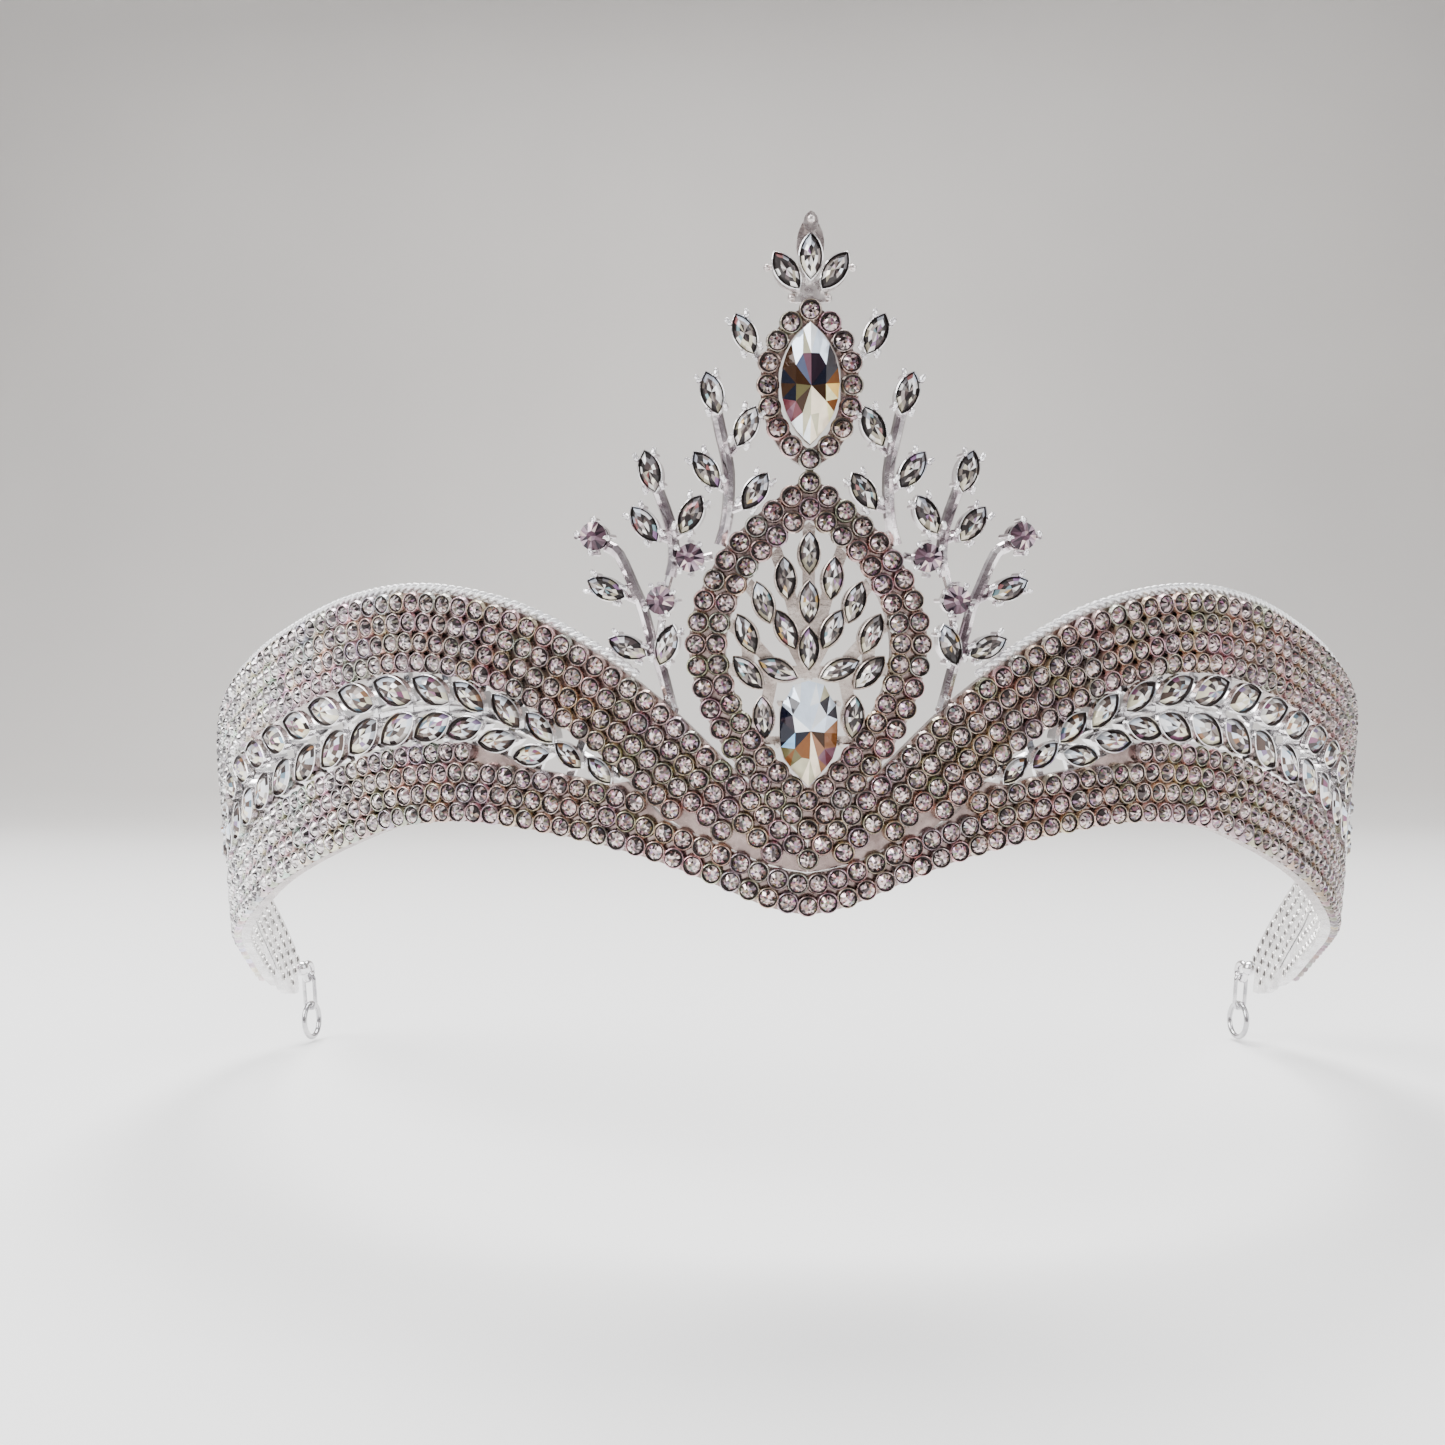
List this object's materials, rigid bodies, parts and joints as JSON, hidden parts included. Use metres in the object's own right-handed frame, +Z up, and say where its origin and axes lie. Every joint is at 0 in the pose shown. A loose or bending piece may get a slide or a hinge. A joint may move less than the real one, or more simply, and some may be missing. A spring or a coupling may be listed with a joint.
{
  "type": "bridal tiara",
  "caption": "Silver bridal tiara of pavé strands round an open laurel, with a medallion, a haloed navette, sprays and ribbon loops.",
  "frame": {"origin": "on the axis of the circle that the band follows, level with the lowest point of the band's front", "axes": "+X to the right seen from the front, -Y out of the front, +Z up towards the finial"},
  "size_m": [0.1558, 0.0995, 0.0981],
  "materials": {
    "silver": "polished plated casting",
    "lilac_stones": "foiled round stones",
    "clear_stones": "foiled clear crystal"
  },
  "bodies": {
    "tiara": {"band_upper_left": "silver", "band_upper_right": "silver", "band_lower": "silver", "rope_rim_left": "silver", "rope_rim_right": "silver", "pave_upper_left": "lilac_stones", "pave_upper_right": "lilac_stones", "pave_lower_left": "lilac_stones", "pave_lower_right": "lilac_stones", "laurel_gallery_left": "silver", "laurel_gallery_right": "silver", "laurel_crystals_left": "clear_stones", "laurel_crystals_right": "clear_stones", "medallion_ring": "silver", "medallion_pave": "lilac_stones", "medallion_lattice": "silver", "medallion_crystals": "clear_stones", "kite_setting": "silver", "kite_crystal": "clear_stones", "halo_frame": "silver", "halo_pave": "lilac_stones", "navette_setting": "silver", "navette_crystal": "clear_stones", "finial": "silver", "finial_crystals": "clear_stones", "halo_leaves": "silver", "halo_leaf_crystals": "clear_stones", "spray_inner_left": "silver", "spray_inner_right": "silver", "spray_inner_crystals_left": "clear_stones", "spray_inner_crystals_right": "clear_stones", "spray_middle_left": "silver", "spray_middle_right": "silver", "spray_middle_crystals_left": "clear_stones", "spray_middle_crystals_right": "clear_stones", "spray_outer_left": "silver", "spray_outer_right": "silver", "spray_outer_crystals_left": "clear_stones", "spray_outer_crystals_right": "clear_stones", "end_lug_left": "silver", "end_lug_right": "silver"},
    "link_left": {"link_left": "silver"},
    "link_right": {"link_right": "silver"},
    "loop_left": {"loop_left": "silver"},
    "loop_right": {"loop_right": "silver"}
  },
  "joints": [
    {"name": "link_right_swing", "type": "hinge", "parent": "tiara", "child": "link_right", "pos_m": [0.07377, 0.01261, -0.02195], "axis": [-0.1685, 0.9857, 0], "range_deg": [-90, 90]},
    {"name": "link_left_swing", "type": "hinge", "parent": "tiara", "child": "link_left", "pos_m": [-0.07377, 0.01261, -0.02195], "axis": [-0.1685, -0.9857, 0], "range_deg": [-90, 90]},
    {"name": "loop_right_swing", "type": "hinge", "parent": "link_right", "child": "loop_right", "pos_m": [0.07342, 0.01255, -0.02638], "axis": [0.9826, 0.168, -0.0797], "range_deg": [-70, 70]},
    {"name": "loop_left_swing", "type": "hinge", "parent": "link_left", "child": "loop_left", "pos_m": [-0.07342, 0.01255, -0.02638], "axis": [-0.9826, 0.168, -0.0797], "range_deg": [-70, 70]}
  ]
}
